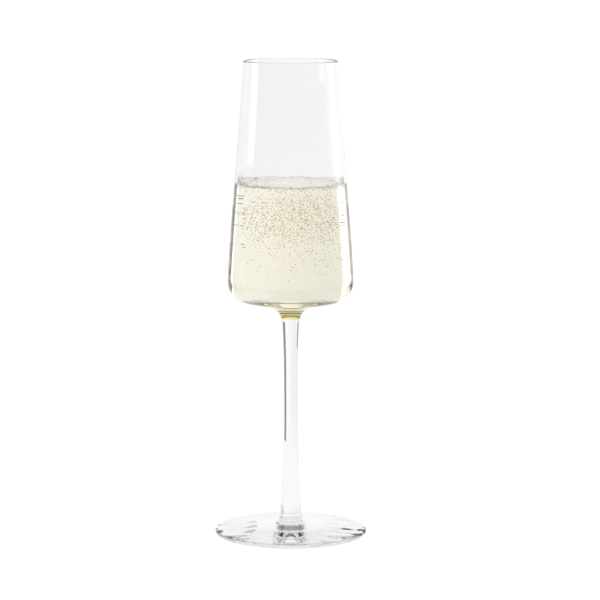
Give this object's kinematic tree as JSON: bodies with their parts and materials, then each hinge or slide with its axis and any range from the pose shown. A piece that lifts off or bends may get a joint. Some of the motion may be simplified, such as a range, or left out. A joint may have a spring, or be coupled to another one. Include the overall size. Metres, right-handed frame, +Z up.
{
  "type": "champagne flute",
  "caption": "Tall stemmed flute: tapering bowl with a rounded lower corner and thick base, thin drawn stem and round foot, part filled with sparkling wine.",
  "frame": {"origin": "centre of the foot's resting ring, on the table", "axes": "+Z up the axis of the glass, from the foot to the rim; the glass is the same all round, so X and Y are any two directions"},
  "size_m": [0.0768, 0.0768, 0.24],
  "materials": {
    "clear_glass": "clear, polished, fire-polished lip",
    "champagne": "clear pale straw liquid",
    "foam": "fine wet foam"
  },
  "bodies": {
    "root": {"bowl": "clear_glass", "stem": "clear_glass", "foot": "clear_glass", "champagne": "champagne", "foam_collar": "foam"}
  },
  "joints": []
}
